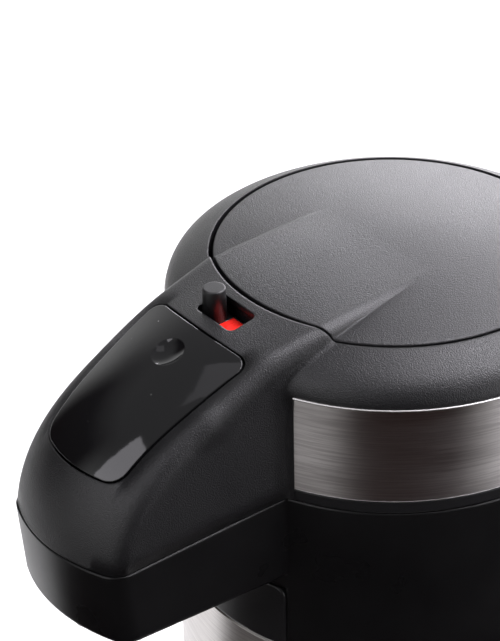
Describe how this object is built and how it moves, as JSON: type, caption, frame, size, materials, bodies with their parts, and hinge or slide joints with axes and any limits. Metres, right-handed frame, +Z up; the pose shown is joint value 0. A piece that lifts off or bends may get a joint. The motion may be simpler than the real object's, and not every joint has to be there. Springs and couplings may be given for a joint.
{
  "type": "vacuum airpot",
  "caption": "Vacuum airpot with a push plate on its hinged lid, a broad pouring nose, a sliding lock, a lid release lever, a swivel base and a carrying handle.",
  "frame": {"origin": "middle of the swivel base, on the plane its feet stand on", "axes": "+Z up along the pot's axis, -Y towards the pouring nose, +X to the right as seen from the front"},
  "size_m": [0.197, 0.2928, 0.3563],
  "materials": {
    "black_plastic": "fine grained, charcoal black",
    "gloss_black": "glossy",
    "grey_plastic": "satin",
    "white_plastic": "satin",
    "bellows_plastic": "soft, translucent white",
    "red_plastic": "glossy",
    "steel": "brushed round the body",
    "vessel_steel": "fine satin",
    "spring_steel": "bright wire",
    "zinc": "bright zinc",
    "silicone": "matt",
    "rubber_black": "matt"
  },
  "bodies": {
    "base": {"turntable": "black_plastic", "feet": "rubber_black", "glides": "white_plastic"},
    "pot": {"can": "steel", "vessel": "vessel_steel", "bottom_cover": "black_plastic", "can_bracket": "zinc", "bottom_screws": "zinc", "cushion": "rubber_black", "pivot_screw": "zinc", "pivot_washer": "zinc", "collar": "black_plastic", "front_panel": "gloss_black", "neck_ring": "grey_plastic", "neck_gasket": "silicone", "dip_tube": "vessel_steel", "outlet_duct": "white_plastic", "nozzle": "grey_plastic", "tip_ball": "vessel_steel", "latch_catch": "zinc", "hinge_pin": "zinc", "handle_pins": "black_plastic"},
    "lid": {"lid_shell": "black_plastic", "steel_band": "steel", "lid_underside": "grey_plastic", "lid_screws": "zinc", "mouth_gasket": "silicone", "pump_base": "grey_plastic", "air_valve": "silicone", "bellows": "bellows_plastic", "return_spring": "spring_steel", "plate_pins": "zinc", "lever_pin": "zinc", "lever_spring": "spring_steel"},
    "push_plate": {"push_plate": "black_plastic"},
    "pusher": {"bellows_cap": "grey_plastic"},
    "lock": {"lock_slide": "black_plastic", "lock_label": "red_plastic", "lock_knob": "black_plastic"},
    "lever": {"release_lever": "gloss_black", "lever_hook": "black_plastic"},
    "handle": {"handle_bail": "steel", "handle_grip": "black_plastic"}
  },
  "joints": [
    {"name": "swivel", "type": "hinge", "parent": "base", "child": "pot", "pos_m": [0, 0, 0.0095], "axis": [0, 0, 1], "continuous": true},
    {"name": "lid_hinge", "type": "hinge", "parent": "pot", "child": "lid", "pos_m": [0, 0.093, 0.2812], "axis": [-1, 0, 0], "range_deg": [0, 95]},
    {"name": "plate_hinge", "type": "hinge", "parent": "lid", "child": "push_plate", "pos_m": [0, 0.058, 0.339], "axis": [1, 0, 0], "range_deg": [0, 12], "stiffness_Nm_per_rad": 3, "springref_deg": -6.88},
    {"name": "pump_slide", "type": "slide", "parent": "lid", "child": "pusher", "axis": [0, 0, -1], "range_m": [0, 0.015], "deforming": ["bellows", "return_spring"]},
    {"name": "lock_slide", "type": "slide", "parent": "lid", "child": "lock", "axis": [1, 0, 0], "range_m": [0, 0.012]},
    {"name": "lever_press", "type": "hinge", "parent": "lid", "child": "lever", "pos_m": [0, -0.113, 0.3275], "axis": [-1, 0, 0], "range_deg": [0, 7], "stiffness_Nm_per_rad": 0.3, "springref_deg": -11.46},
    {"name": "handle_hinge", "type": "hinge", "parent": "pot", "child": "handle", "pos_m": [0, 0.01, 0.262], "axis": [1, 0, 0], "range_deg": [0, 140]}
  ],
  "couplings": [
    {"joint": "pump_slide", "follows": "plate_hinge", "m_per_rad": 0.069}
  ]
}
